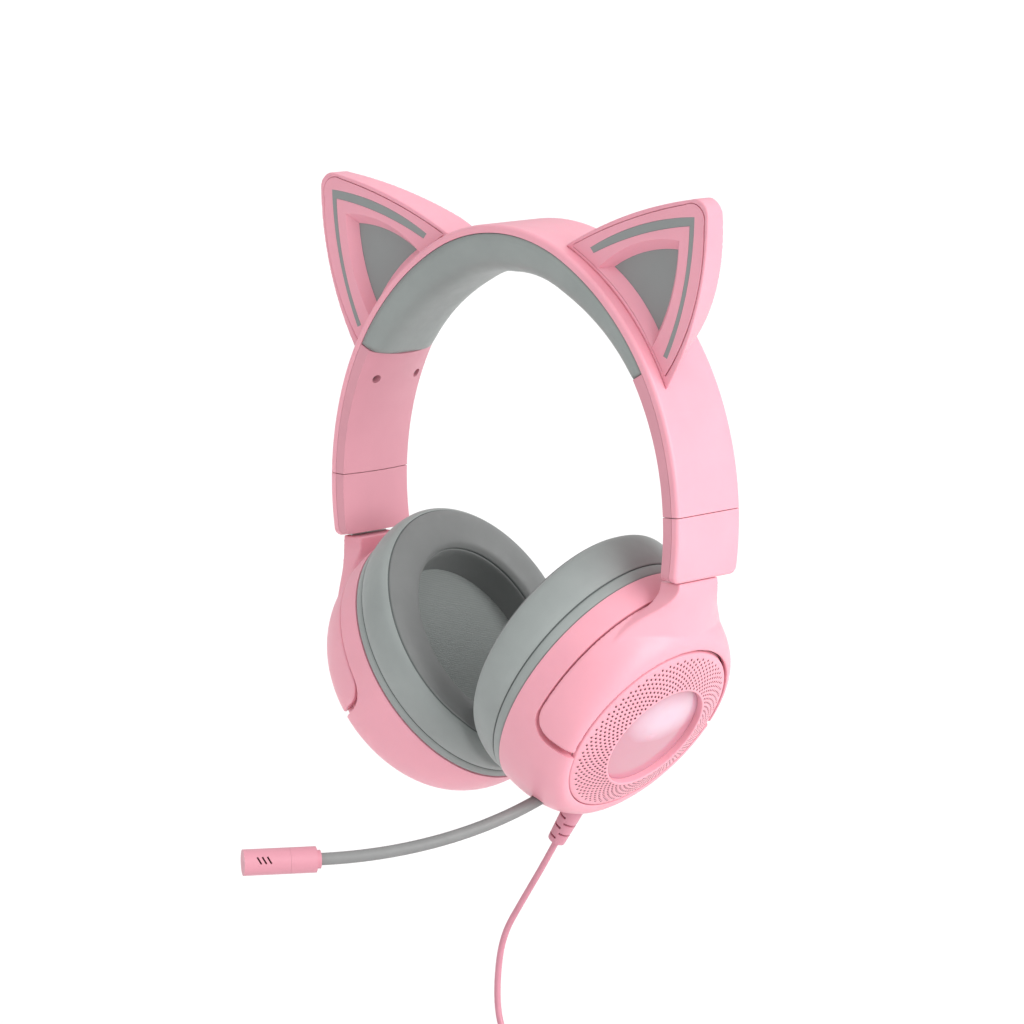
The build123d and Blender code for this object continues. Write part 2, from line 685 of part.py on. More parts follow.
def mic_rear():
    """Collar and rear half of the capsule's housing."""
    s = BOOM_LEN
    collar = straight_rod(3.3, s, 0, 1.6)
    return collar + straight_rod(4.65, s, 1.6, 11.0) - straight_rod(3.6, s, 3.0, 12.0)


def mic_front():
    """Front half of the housing, with three slanted sound slots on each side."""
    s = BOOM_LEN
    front = straight_rod(4.65, s, 11.05, MIC_END) - straight_rod(3.6, s, 10.0, MIC_END - 1.4)
    d = boom_dir(s)
    side = Vector(0, 0, 1).cross(d).normalized()
    for i in range(3):
        p = on_boom(s) + d * (17.9 + 1.8 * i)
        front -= Plane(origin=p, x_dir=d, z_dir=side) * Rot(0, 0, 30) * Pos(0, -1.6, 0) * Box(0.6, 2.8, 12)
    return front


def mic_capsule():
    return straight_rod(3.0, BOOM_LEN, 13.0, 24.0)


# ---------------------------------------------------------------- strain relief and cable
RELIEF = cup_at(-3.5, -45.5, -8.7)
DOWN = UP * -1


def relief_rod(r, a, b):
    return extrude(Plane(origin=RELIEF + DOWN * a, z_dir=DOWN) * Circle(r), amount=b - a)


def strain_relief():
    body = loft([Plane(origin=RELIEF + DOWN * a, z_dir=DOWN) * Circle(r) for a, r in ((-3.0, 4.0), (15.0, 3.3))])
    for i in range(5):
        a = 2.6 + 2.4 * i
        ring = relief_rod(6, a, a + 0.9) - relief_rod(2.1, a - 1, a + 2)
        body -= ring & block(-30, 30, -100, 0, -8.7 + (1.2 if i % 2 else -20), -8.7 + (20 if i % 2 else 1.2))
    return body - relief_rod(CABLE_D / 2, -4, 16)


def cord_points():
    """Free run of the cord, chosen by hand: straight out, drooping, then down to the coil."""
    return [
        RELIEF + DOWN * -3.0,
        RELIEF + DOWN * 22.0 + Vector(0.5, 0, -0.3),
        RELIEF + DOWN * 46.0,
        Vector(-9.0, -6.4, -246.0),
        Vector(-11.6, -6.8, -264.0),
        Vector(-10.4, -7.2, -278.5),
        Vector(-3.6, -7.7, -288.4),
        Vector(7.0, -7.9, -290.5),
    ]


def rounded_path(points):
    radii = []
    for a, b, c in zip(points, points[1:], points[2:]):
        turn = radians((b - a).get_angle(c - b))
        run = min((b - a).length, (c - b).length)
        radii.append(0.45 * run / tan(turn / 2))
    return FilletPolyline(*points, radius=radii)


def cord_tube(points):
    path = rounded_path(points)
    d = (points[1] - points[0]).normalized()
    return sweep(Plane(origin=points[0], z_dir=d) * Circle(CABLE_D / 2), path=path)


def cable_coil():
    z = Plane(origin=(COIL_X, COIL_Y, FLOOR_Z + STRAP_T + 0.1), z_dir=(0, 0, 1))
    ring = extrude(z * Circle(COIL_R + COIL_HALF_W), amount=COIL_H)
    return ring - extrude(z * Circle(COIL_R - COIL_HALF_W), amount=COIL_H)


def cable_tie():
    """Hook-and-loop strap round one side of the coil."""
    height = COIL_H + 2 * STRAP_T + 0.2
    width = 2 * COIL_HALF_W + 3.6
    place = Pos(COIL_X + COIL_R - 0.3, COIL_Y, FLOOR_Z + height / 2)
    inside = Box(width - 2 * STRAP_T, 7.0, height - 2 * STRAP_T)
    return place * (Box(width, 6.0, height) - inside)


def usb_overmould():
    grip = Pos(PLUG_X + GRIP[0] / 2, PLUG_Y, PLUG_Z) * Box(*GRIP)
    grip = fillet(grip.edges().filter_by(Axis.X), 1.5)
    tail_length = 15.0
    tail_at = (PLUG_X - tail_length, PLUG_Y, PLUG_Z)
    tail = extrude(Plane(origin=tail_at, z_dir=(1, 0, 0)) * Circle(2.3), amount=tail_length)
    tongue = Pos(PLUG_X + GRIP[0] + 8.4, PLUG_Y, PLUG_Z + 0.9) * Box(16.8, 11.0, 1.9)
    return grip + tail + tongue


def usb_shell():
    place = Pos(PLUG_X + GRIP[0] + USB[0] / 2, PLUG_Y, PLUG_Z)
    return place * (Box(*USB) - Box(USB[0] + 1, USB[1] - 0.7, USB[2] - 0.7))


def export_all():
    os.makedirs("parts", exist_ok=True)
    for name, solid in parts.items():
        solid.label = name
        export_step(solid, "parts/%s.step" % name)


parts["band_outer_shell"] = band_outer_shell()
parts["band_pad"] = band_pad()
parts["pad_base"] = ribbon(-2.3, -0.3, -PAD_END + 0.5, PAD_END - 0.5, -13.4, 13.4)
parts["band_spring"] = ribbon(0.1, 0.9, -76, 76, -6.8, 6.8)
screws = cover_screws()
parts["cover_screws"] = Compound([*screws.solids(), *mirror(screws, about=Plane.YZ).solids()])
for name, solid in {
    "inner_cover": inner_cover(),
    "end_cap_outer": end_cap_outer(),
    "end_cap_inner": end_cap_inner(),
    "ear_shell": ear_shell(),
    "ear_panel": ear_panel(),
    "ear_chevron": chevron(EAR_FRONT, 2.0),
    "ear_triangle": ear_triangle(),
    "ear_board": ear_board(),
    "slider_strip": slider_strip(),
    "yoke": yoke(),
    "pivot_pins": pivot_pins(),
    "grille": grille(),
    "centre_lens": centre_lens(),
    "led_board": led_board(),
    "driver_frame": driver_frame(),
    "driver_magnet": driver_magnet(),
    "driver_cloth": driver_cloth(),
    "ear_cushion": ear_cushion(),
    "cup_screws": cup_screws(),
}.items():
    both_sides(name, solid)
parts["baffle_l"] = baffle(with_axle=True)
parts["baffle_r"] = mirror(baffle(with_axle=False), about=Plane.YZ)
parts["cup_shell_l"] = cup_shell_left()
parts["cup_shell_r"] = mirror(cup_shell(), about=Plane.YZ)
parts["main_board"] = main_board()
parts["volume_wheel"] = volume_wheel()
parts["mute_button"] = mute_button()
parts["strain_relief"] = strain_relief()
parts["cable"] = cord_tube(cord_points())
parts["cable_coil"] = cable_coil()
parts["cable_tie"] = cable_tie()
parts["usb_overmould"] = usb_overmould()
parts["usb_shell"] = usb_shell()
parts["mic_boom"] = mic_boom()
parts["mic_rear"] = mic_rear()
parts["mic_front"] = mic_front()
parts["mic_capsule"] = mic_capsule()
print("boom radius", round(BOOM_R, 1), "length", round(BOOM_LEN, 1), "centre", BOOM_C, "axis", BOOM_N)
export_all()
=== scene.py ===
"""Looks of the cat-ear gaming headset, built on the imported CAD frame.

Units are metres and the frame is the CAD's: origin under the crown pad, +X the
wearer's left, -Y the wearer's front, +Z up.
"""
import json
from math import cos, pi, radians, sin, sqrt

import bmesh
import bpy
from mathutils import Matrix, Vector


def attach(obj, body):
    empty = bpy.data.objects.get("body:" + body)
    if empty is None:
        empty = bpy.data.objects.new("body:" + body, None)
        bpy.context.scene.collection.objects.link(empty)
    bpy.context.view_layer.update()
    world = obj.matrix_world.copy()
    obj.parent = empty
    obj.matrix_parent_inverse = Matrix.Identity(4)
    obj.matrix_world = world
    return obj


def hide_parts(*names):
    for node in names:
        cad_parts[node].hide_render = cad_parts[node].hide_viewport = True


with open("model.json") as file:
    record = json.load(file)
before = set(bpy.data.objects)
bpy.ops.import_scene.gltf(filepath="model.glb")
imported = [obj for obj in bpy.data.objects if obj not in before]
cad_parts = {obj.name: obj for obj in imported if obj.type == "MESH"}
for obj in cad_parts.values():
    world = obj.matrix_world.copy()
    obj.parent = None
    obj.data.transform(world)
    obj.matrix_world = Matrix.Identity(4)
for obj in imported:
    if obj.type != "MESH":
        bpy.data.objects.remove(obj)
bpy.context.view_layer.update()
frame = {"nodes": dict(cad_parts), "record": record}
nodes = frame["nodes"]
MM = 0.001

# ---------------------------------------------------------------- driving dimensions, in millimetres
ARCH_RADII = (64.0, 98.0, 112.2)     # crown, shoulder and leg of the band's parting line
ARCH_TURNS = (29.3, 69.8)
CROWN_DEPTH = 15.0
BAND_HALF = 17.0
PAD_END = 60.2                       # angle of the crown pad's ends, in degrees

DISC = Vector((58.5, -2.5, -160.0))  # centre of the left grille disc
CUP_TILT = radians(33.6)
OUT = Vector((cos(CUP_TILT), 0, -sin(CUP_TILT)))
UP = Vector((sin(CUP_TILT), 0, cos(CUP_TILT)))
BACK = Vector((0, 1, 0))
FLANGE_DEPTH = 27.5
FACE_TILT = radians(31.0)            # the ear side of the cushion is a slight wedge
FACE_IN = 20.2
FACE_UP = 3.3
BASE_A = 50.0                        # half height and half width of the cushion at the cup
BASE_B = 44.0
FACE_A = 48.7                        # the same at its face
FACE_B = 45.2
HOLLOW_A = 34.6                      # the same of its hollow
HOLLOW_B = 29.6
HOLLOW_DROP = 2.8
CLOTH_LIFT = 5.2
MIDLINE_GAP = 0.6                    # the two cushions are pressed flat this far from the middle
MIDLINE_BLEND = 3.0

FLOOR_Z = -300.0
CABLE_D = 2.4
COIL_X = 12.0
COIL_Y = 11.5
COIL_R = 14.5
COIL_TOP = -290.5
COIL_PITCH = 2.45
COIL_COLUMNS = 5
COIL_ROWS = 4


def cup_point(x, v, z, side=1):
    """Point of a cup, given rearwards, up and out of the grille."""
    p = DISC + BACK * x + UP * v + OUT * z
    return Vector((p.x * side, p.y, p.z)) * MM


def arch_centres():
    """Centres (x, z) of the band's three tangent arcs."""
    centres = [(0.0, CROWN_DEPTH - ARCH_RADII[0])]
    for i, turn in enumerate(ARCH_TURNS):
        step = ARCH_RADII[i] - ARCH_RADII[i + 1]
        x, z = centres[-1]
        centres.append((x + step * sin(radians(turn)), z + step * cos(radians(turn))))
    return centres


CENTRES = arch_centres()


def arch(angle, off, y=0.0):
    """Point of the band's arch at an angle from the crown, offset outwards, in metres."""
    a = abs(angle)
    i = 0 if a <= ARCH_TURNS[0] else 1 if a <= ARCH_TURNS[1] else 2
    cx, cz = CENTRES[i]
    r = ARCH_RADII[i] + off
    x = cx + r * sin(radians(a))
    return Vector((x if angle >= 0 else -x, y, cz + r * cos(radians(a)))) * MM


# ---------------------------------------------------------------- mesh helpers
def make_object(name, verts, faces, materials, smooth=True):
    """Mesh object from points in metres; each face is (corner indices, material index)."""
    mesh = bpy.data.meshes.new(name)
    mesh.from_pydata([tuple(v) for v in verts], [], [f[0] for f in faces])
    for m in materials:
        mesh.materials.append(m)
    for poly, f in zip(mesh.polygons, faces):
        poly.material_index = f[1]
        poly.use_smooth = smooth
    mesh.update()
    obj = bpy.data.objects.new(name, mesh)
    bpy.context.scene.collection.objects.link(obj)
    return obj


def loft(rings, capped=False, wrap=False, slot_of=None):
    """Vertices and quads through closed rings of equal length. slot_of gives each band's material."""
    verts = [p for ring in rings for p in ring]
    n = len(rings[0])
    faces = []
    bands = len(rings) if wrap else len(rings) - 1
    for j in range(bands):
        k = (j + 1) % len(rings)
        slot = slot_of(j) if slot_of else 0
        for i in range(n):
            m = (i + 1) % n
            faces.append(((j * n + i, j * n + m, k * n + m, k * n + i), slot))
    if capped:
        faces.append((tuple(reversed(range(n))), 0))
        faces.append((tuple(range((len(rings) - 1) * n, len(rings) * n)), 0))
    return verts, faces


def outward(obj):
    """Makes the faces of a mesh agree, and look outwards where it is closed."""
    bm = bmesh.new()
    bm.from_mesh(obj.data)
    bmesh.ops.recalc_face_normals(bm, faces=bm.faces)
    bm.to_mesh(obj.data)
    bm.free()


def apply_modifiers(obj):
    """Replaces an object's mesh by its evaluated one."""
    bpy.context.view_layer.update()
    evaluated = obj.evaluated_get(bpy.context.evaluated_depsgraph_get())
    mesh = bpy.data.meshes.new_from_object(evaluated)
    obj.modifiers.clear()
    old = obj.data
    obj.data = mesh
    bpy.data.meshes.remove(old)


def catmull(points, samples):
    """Smooth open profile through rows of numbers, as Catmull-Rom spans."""
    out = []
    count = len(points)
    for i in range(count - 1):
        p0, p1 = points[max(i - 1, 0)], points[i]
        p2, p3 = points[i + 1], points[min(i + 2, count - 1)]
        for s in range(samples):
            t = s / samples
            out.append(tuple(
                0.5 * (2 * b + (c - a) * t + (2 * a - 5 * b + 4 * c - d) * t * t
                       + (3 * b - a - 3 * c + d) * t ** 3)
                for a, b, c, d in zip(p0, p1, p2, p3)
            ))
    out.append(points[-1])
    return out


# ---------------------------------------------------------------- materials
class Recipe:
    """A material's node tree with short calls for what the recipes below share."""

    def __init__(self, name, colour, roughness, **sockets):
        self.material = bpy.data.materials.new(name)
        self.material.use_nodes = True
        self.tree = self.material.node_tree
        self.shader = self.tree.nodes["Principled BSDF"]
        self.shader.inputs["Base Color"].default_value = (*colour, 1)
        self.shader.inputs["Roughness"].default_value = roughness
        self.material.diffuse_color = (*colour, 1)
        for socket, value in sockets.items():
            self.shader.inputs[socket.replace("_", " ")].default_value = value
        self.place = self.node("ShaderNodeTexCoord").outputs["Object"]
        self.heights = []

    def node(self, kind, **settings):
        made = self.tree.nodes.new(kind)
        for key, value in settings.items():
            setattr(made, key, value)
        return made

    def link(self, output, socket):
        self.tree.links.new(output, socket)

    def noise(self, scale, detail=3.0, rough=0.55, stretch=None):
        """Noise in object space, as a 0..1 output. scale is per metre."""
        texture = self.node("ShaderNodeTexNoise")
        texture.inputs["Scale"].default_value = scale
        texture.inputs["Detail"].default_value = detail
        texture.inputs["Roughness"].default_value = rough
        source = self.place
        if stretch:
            mapping = self.node("ShaderNodeMapping")
            mapping.inputs["Scale"].default_value = stretch
            self.link(source, mapping.inputs["Vector"])
            source = mapping.outputs["Vector"]
        self.link(source, texture.inputs["Vector"])
        return texture.outputs["Fac"]

    def cells(self, scale, feature="F1"):
        """Voronoi distance in object space."""
        texture = self.node("ShaderNodeTexVoronoi", feature=feature)
        texture.inputs["Scale"].default_value = scale
        self.link(self.place, texture.inputs["Vector"])
        return texture.outputs["Distance"]

    def spread(self, value, low, high, start=0.3, end=0.7):
        """Maps a 0..1 value between two numbers."""
        ranged = self.node("ShaderNodeMapRange")
        ranged.inputs["From Min"].default_value = start
        ranged.inputs["From Max"].default_value = end
        ranged.inputs["To Min"].default_value = low
        ranged.inputs["To Max"].default_value = high
        self.link(value, ranged.inputs["Value"])
        return ranged.outputs["Result"]

    def tint(self, value, dark, light, socket="Base Color"):
        """Gives a socket a colour that runs from dark to light with a value."""
        mix = self.node("ShaderNodeMix", data_type="RGBA")
        mix.inputs[6].default_value = (*dark, 1)
        mix.inputs[7].default_value = (*light, 1)
        self.link(value, mix.inputs[0])
        self.link(mix.outputs[2], self.shader.inputs[socket])

    def vary_roughness(self, value, low, high):
        self.link(self.spread(value, low, high), self.shader.inputs["Roughness"])

    def bump(self, height, distance, strength=1.0):
        """Adds one layer of relief; layers are chained."""
        layer = self.node("ShaderNodeBump")
        layer.inputs["Distance"].default_value = distance
        layer.inputs["Strength"].default_value = strength
        self.link(height, layer.inputs["Height"])
        if self.heights:
            self.link(self.heights[-1], layer.inputs["Normal"])
        self.heights.append(layer.outputs["Normal"])
        self.link(layer.outputs["Normal"], self.shader.inputs["Normal"])


def shade(colour, factor):
    """A colour made darker or lighter."""
    return tuple(min(1.0, c * factor) for c in colour)


def plastic(name, colour, roughness=0.42, grain=0.00004, **sockets):
    """Moulded plastic: fine spark-eroded grain, faint flow mottling, uneven gloss."""
    recipe = Recipe(name, colour, roughness, **sockets)
    mottle = recipe.noise(38.0, 4.0)
    recipe.tint(recipe.spread(mottle, 0.0, 1.0), shade(colour, 0.965), shade(colour, 1.03))
    recipe.vary_roughness(recipe.noise(160.0, 2.0), roughness - 0.05, roughness + 0.06)
    recipe.bump(recipe.noise(5200.0, 1.0), grain, 0.35)
    recipe.bump(recipe.noise(1300.0, 2.0), grain * 1.6, 0.25)
    return recipe.material


def leatherette(name, colour, roughness=0.55):
    """Soft coated fabric: pebbled grain with fine creases and a low sheen."""
    recipe = Recipe(name, colour, roughness, Sheen_Weight=0.18, Sheen_Roughness=0.45)
    recipe.tint(recipe.spread(recipe.noise(45.0, 5.0), 0.0, 1.0), shade(colour, 0.93), shade(colour, 1.06))
    recipe.vary_roughness(recipe.noise(260.0, 3.0), roughness - 0.07, roughness + 0.08)
    recipe.bump(recipe.cells(1500.0, "DISTANCE_TO_EDGE"), 0.00008, 0.30)
    recipe.bump(recipe.noise(380.0, 4.0), 0.00012, 0.22)
    recipe.bump(recipe.noise(70.0, 2.0), 0.0005, 0.12)
    return recipe.material


def woven(name, colour, pitch=0.0009):
    """Plain weave: threads both ways, over and under, with a fuzzy sheen."""
    recipe = Recipe(name, colour, 0.8, Sheen_Weight=0.3, Sheen_Roughness=0.5)
    waves = []
    for axis in ("Y", "Z"):
        wave = recipe.node("ShaderNodeTexWave", wave_type="BANDS", bands_direction=axis)
        wave.inputs["Scale"].default_value = 0.314 / pitch
        wave.inputs["Distortion"].default_value = 0.25
        wave.inputs["Detail"].default_value = 1.0
        recipe.link(recipe.place, wave.inputs["Vector"])
        waves.append(wave.outputs["Fac"])
    product = recipe.node("ShaderNodeMath", operation="MULTIPLY")
    recipe.link(waves[0], product.inputs[0])
    recipe.link(waves[1], product.inputs[1])
    recipe.tint(product.outputs[0], shade(colour, 0.72), shade(colour, 1.08))
    recipe.bump(product.outputs[0], 0.00016, 0.5)
    recipe.bump(recipe.noise(900.0, 3.0), 0.00006, 0.4)
    return recipe.material


def steel(name, colour, roughness, stretch):
    """Brushed metal with scratches along one direction."""
    recipe = Recipe(name, colour, roughness, Metallic=1.0)
    lines = recipe.noise(900.0, 3.0, 0.6, stretch)
    recipe.vary_roughness(lines, roughness - 0.08, roughness + 0.12)
    recipe.tint(recipe.spread(recipe.noise(90.0), 0.0, 1.0), shade(colour, 0.9), shade(colour, 1.05))
    recipe.bump(lines, 0.00003, 0.3)
    return recipe.material


def rubber(name, colour, roughness=0.5, **sockets):
    """Soft thermoplastic of cords and booms: matt, with a faint drawn texture."""
    recipe = Recipe(name, colour, roughness, **sockets)
    recipe.tint(recipe.spread(recipe.noise(120.0, 3.0), 0.0, 1.0), shade(colour, 0.95), shade(colour, 1.05))
    recipe.vary_roughness(recipe.noise(400.0, 2.0), roughness - 0.05, roughness + 0.08)
    recipe.bump(recipe.noise(3000.0, 2.0), 0.00005, 0.3)
    return recipe.material


def circuit(name, colour):
    """Solder-masked board with faint track relief."""
    recipe = Recipe(name, colour, 0.35, Coat_Weight=0.4)
    tracks = recipe.cells(260.0, "DISTANCE_TO_EDGE")
    recipe.tint(recipe.spread(tracks, 0.0, 1.0, 0.02, 0.12), shade(colour, 1.5), colour)
    recipe.bump(tracks, 0.00008, 0.4)
    return recipe.material


PINK = (0.82, 0.362, 0.440)
EAR_PINK = (0.79, 0.345, 0.425)
MOULDED = {"Subsurface_Weight": 0.06, "Subsurface_Scale": 0.002}

SHELL = plastic("shell_pink", PINK, 0.40, **MOULDED)
EAR = plastic("ear_pink", EAR_PINK, 0.42, **MOULDED)
YOKE = plastic("yoke_pink", PINK, 0.38, **MOULDED)
GRILLE = plastic("grille_pink", PINK, 0.44, **MOULDED)
# painted shade: the dark pink of the grille's hole walls and bottoms stands in for the shade inside the
# holes
HOLE_PAINTED_SHADE = plastic("grille_hole_painted_shade", (0.17, 0.05, 0.065), 0.8)
MIC = plastic("mic_pink", (0.62, 0.262, 0.325), 0.42)
LIGHT_BAR = plastic("light_grey", (0.235, 0.252, 0.250), 0.36, 0.00002, Coat_Weight=0.15)
CUSHION = leatherette("cushion_grey", (0.285, 0.312, 0.304))
# painted shade: the cushion's face and hollow take a darker copy of the cushion grey
CUSHION_FACE_PAINTED_SHADE = leatherette("cushion_face_painted_shade_grey", (0.185, 0.192, 0.190), 0.5)
# painted shade: the inner covers and inner end caps take the shell pink made darker
INNER_COVER_PAINTED_SHADE = plastic("inner_cover_painted_shade_pink", shade(PINK, 0.80), 0.44)
PAD = leatherette("pad_grey", (0.270, 0.297, 0.288), 0.5)
CUSHION_SEAM = leatherette("cushion_seam", (0.10, 0.115, 0.112), 0.7)
CLOTH = woven("driver_cloth", (0.34, 0.37, 0.36), 0.0006)
INNER = plastic("inner_plastic", (0.045, 0.045, 0.048), 0.5)
SPRING = steel("spring_steel", (0.62, 0.61, 0.60), 0.32, (1, 1, 0.03))
SCREW = steel("screw_steel", (0.30, 0.29, 0.29), 0.35, (1, 1, 1))
MAGNET = steel("magnet_steel", (0.55, 0.55, 0.56), 0.28, (1, 1, 1))
PLUG = steel("plug_steel", (0.72, 0.72, 0.73), 0.22, (0.04, 1, 1))
BOARD = circuit("circuit_board", (0.02, 0.11, 0.05))
CABLE = rubber("cable_pink", (0.60, 0.25, 0.32), 0.46)
BOOM = rubber("boom_grey", (0.215, 0.218, 0.216), 0.5)
TIE = woven("tie_grey", (0.20, 0.21, 0.21), 0.0007)


LENS_PINK = (0.56, 0.245, 0.31)
# painted highlight: the lighter lavender that the lens takes in a patch above its middle
LENS_PAINTED_HIGHLIGHT = (0.66, 0.46, 0.55)
PAINTED_HIGHLIGHT_PLACE = (3.0, 7.5, 2.5)         # of the painted highlight's middle, rearwards, up and out of the grille
PAINTED_HIGHLIGHT_REACH = (0.016, 0.0095)         # rearwards and up, in metres


def lens_with_painted_highlight(name, side):
    """Milky lens with a painted highlight: a lighter lavender patch above its middle, faintly emissive as a
    painted glow.
    """
    recipe = Recipe(name, LENS_PINK, 0.16, Coat_Weight=0.5, Coat_Roughness=0.08, Subsurface_Weight=0.25)
    recipe.shader.inputs["Subsurface Scale"].default_value = 0.003
    centre = cup_point(*PAINTED_HIGHLIGHT_PLACE, side)
    shifted = recipe.node("ShaderNodeVectorMath", operation="SUBTRACT")
    shifted.inputs[1].default_value = centre
    recipe.link(recipe.place, shifted.inputs[0])
    parts = []
    for axis, reach in zip((BACK, Vector((UP.x * side, 0, UP.z))), PAINTED_HIGHLIGHT_REACH):
        dot = recipe.node("ShaderNodeVectorMath", operation="DOT_PRODUCT")
        dot.inputs[1].default_value = axis / reach
        recipe.link(shifted.outputs[0], dot.inputs[0])
        square = recipe.node("ShaderNodeMath", operation="POWER")
        recipe.link(dot.outputs["Value"], square.inputs[0])
        square.inputs[1].default_value = 2.0
        parts.append(square.outputs[0])
    total = recipe.node("ShaderNodeMath", operation="ADD")
    recipe.link(parts[0], total.inputs[0])
    recipe.link(parts[1], total.inputs[1])
    wobble = recipe.node("ShaderNodeMath", operation="MULTIPLY_ADD")
    recipe.link(recipe.noise(90.0, 2.0), wobble.inputs[0])
    wobble.inputs[1].default_value = 0.5
    recipe.link(total.outputs[0], wobble.inputs[2])
    # painted highlight: the patch fades from the lavender at its middle to the lens pink
    painted_highlight = recipe.spread(wobble.outputs[0], 1.0, 0.0, 0.35, 1.75)
    recipe.tint(painted_highlight, LENS_PINK, LENS_PAINTED_HIGHLIGHT)
    # painted glow: the same patch is made faintly emissive
    recipe.tint(painted_highlight, (0.02, 0.008, 0.012), (0.10, 0.08, 0.11), "Emission Color")
    recipe.shader.inputs["Emission Strength"].default_value = 0.5
    recipe.bump(recipe.noise(700.0, 2.0), 0.00003, 0.2)
    return recipe.material


def floor_material():
    """Pale matt floor with a faint unevenness."""
    recipe = Recipe("floor_pale", (0.95, 0.95, 0.95), 0.9)
    recipe.tint(recipe.spread(recipe.noise(3.0, 3.0), 0.0, 1.0), (0.945, 0.945, 0.945), (0.96, 0.96, 0.96))
    recipe.bump(recipe.noise(120.0, 2.0), 0.0004, 0.1)
    return recipe.material


# ---------------------------------------------------------------- cable
RELIEF = Vector((26.05, -6.0, -193.1))     # where the cable leaves the cup, on its own axis


def relief_point(down, shift=(0, 0, 0)):
    """Point on the strain relief's axis, below its root."""
    return RELIEF - UP * down + Vector(shift)


def free_route():
    """Control points of the cord between the cup and the coil, in millimetres."""
    return [
        relief_point(-3.0),
        relief_point(22.0, (0.5, 0, -0.3)),
        relief_point(46.0),
        Vector((-9.0, -6.4, -246.0)),
        Vector((-11.6, -6.8, -264.0)),
        Vector((-10.4, -7.2, -278.5)),
        Vector((-3.6, -7.7, -288.4)),
        Vector((7.0, -7.9, -290.5)),
    ]


TURN_POINTS = 24
LANE_STEP_FROM = 0.68                # shares of a turn at which the cord changes lane, then row
ROW_STEP_FROM = 0.84
STEP_SHARE = 0.16
LAST_TURN_END = 0.94


def step_share(t, start):
    """How far a step that begins at a share of the turn has come, 0..1."""
    return min(1.0, max(0.0, (t - start) / STEP_SHARE))


def coil_turns():
    """Turns of the put-away coil: each row winds in or out, then drops onto the next."""
    points = []
    last_column = COIL_COLUMNS - 1
    for row in range(COIL_ROWS):
        inward = row % 2 == 0
        last_row = row == COIL_ROWS - 1
        for column in range(COIL_COLUMNS):
            last = column == last_column
            here = last_column - column if inward else column
            there = here if last else here + (-1 if inward else 1)
            for i in range(TURN_POINTS):
                t = i / TURN_POINTS
                if last and last_row and t > LAST_TURN_END:
                    break
                drop = step_share(t, ROW_STEP_FROM) if last and not last_row else 0.0
                lane = here + (there - here) * step_share(t, LANE_STEP_FROM)
                r = COIL_R + (lane - last_column / 2) * COIL_PITCH
                a = 2 * pi * t - pi / 2
                z = COIL_TOP - (row + drop) * COIL_PITCH
                points.append(Vector((COIL_X + r * cos(a), COIL_Y + r * sin(a), z)))
    return points


def tail_route():
    """Short end from the coil into the plug's overmould."""
    return [
        Vector((9.6, -8.4, -297.6)),
        Vector((14.0, -10.0, -296.8)),
        Vector((17.5, -10.5, -296.2)),
        Vector((22.0, -10.5, -296.0)),
    ]


def nurbs(name, points, diameter, material):
    """Round cord on one NURBS spline; points are in millimetres."""
    curve = bpy.data.curves.new(name, "CURVE")
    curve.dimensions = "3D"
    curve.bevel_depth = diameter / 2 * MM
    curve.bevel_resolution = 5
    curve.resolution_u = 6
    curve.use_fill_caps = True
    spline = curve.splines.new("NURBS")
    spline.points.add(len(points) - 1)
    for slot, p in zip(spline.points, points):
        slot.co = (*(p * MM), 1.0)
    spline.order_u = 3
    spline.use_endpoint_u = True
    spline.use_smooth = True
    curve.materials.append(material)
    obj = bpy.data.objects.new(name, curve)
    bpy.context.scene.collection.objects.link(obj)
    return obj


def build_cable(tie):
    """The whole cord on one spline, from the cup through its coil to the plug."""
    cord = nurbs("headset_cable", [*free_route(), *coil_turns(), *tail_route()], CABLE_D, CABLE)
    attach(cord, "cup_l")
    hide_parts("cable", "cable_coil")


# ---------------------------------------------------------------- ear cushions
CUSHION_SEGMENTS = 128
SEAM_DEPTH = 0.38                    # how far a seam draws the cover in
SEAM_REACH = 0.5                     # and how far from the seam that is felt
SEAM_SHOWS = 0.12                    # deeper than this, the cover has the seam's own material
# Section of the cushion from its base at the cup to the base of its hollow: share of the
# depth, share of the way from the outer wall to the hollow's wall, and millimetres outwards.
CUSHION_SECTION = [
    (0.00, 0.0, -1.1), (0.02, 0.0, -0.3), (0.09, 0.0, 0.0), (0.16, 0.0, 0.0), (0.195, 0.0, -0.25),
    (0.23, 0.0, 0.0), (0.36, 0.0, 0.75), (0.55, 0.0, 1.0), (0.74, 0.0, 0.55), (0.87, 0.02, 0.0),
    (0.955, 0.12, -0.15), (0.99, 0.2, 0.0), (1.03, 0.36, 0.0), (1.045, 0.56, 0.0), (1.035, 0.75, 0.0),
    (0.995, 0.91, 0.0), (0.93, 0.985, 0.0), (0.88, 1.0, 0.0), (0.80, 1.01, 0.0), (0.60, 1.0, 0.7),
    (0.40, 1.0, 0.9), (0.20, 1.0, 0.5), (0.0, 1.0, 0.0),
]
SEAMS = ((0.195, 0.0), (0.955, 0.12), (0.88, 1.0))
RING_WIDTH = 14.6                    # outer wall to hollow, for spacing the seams


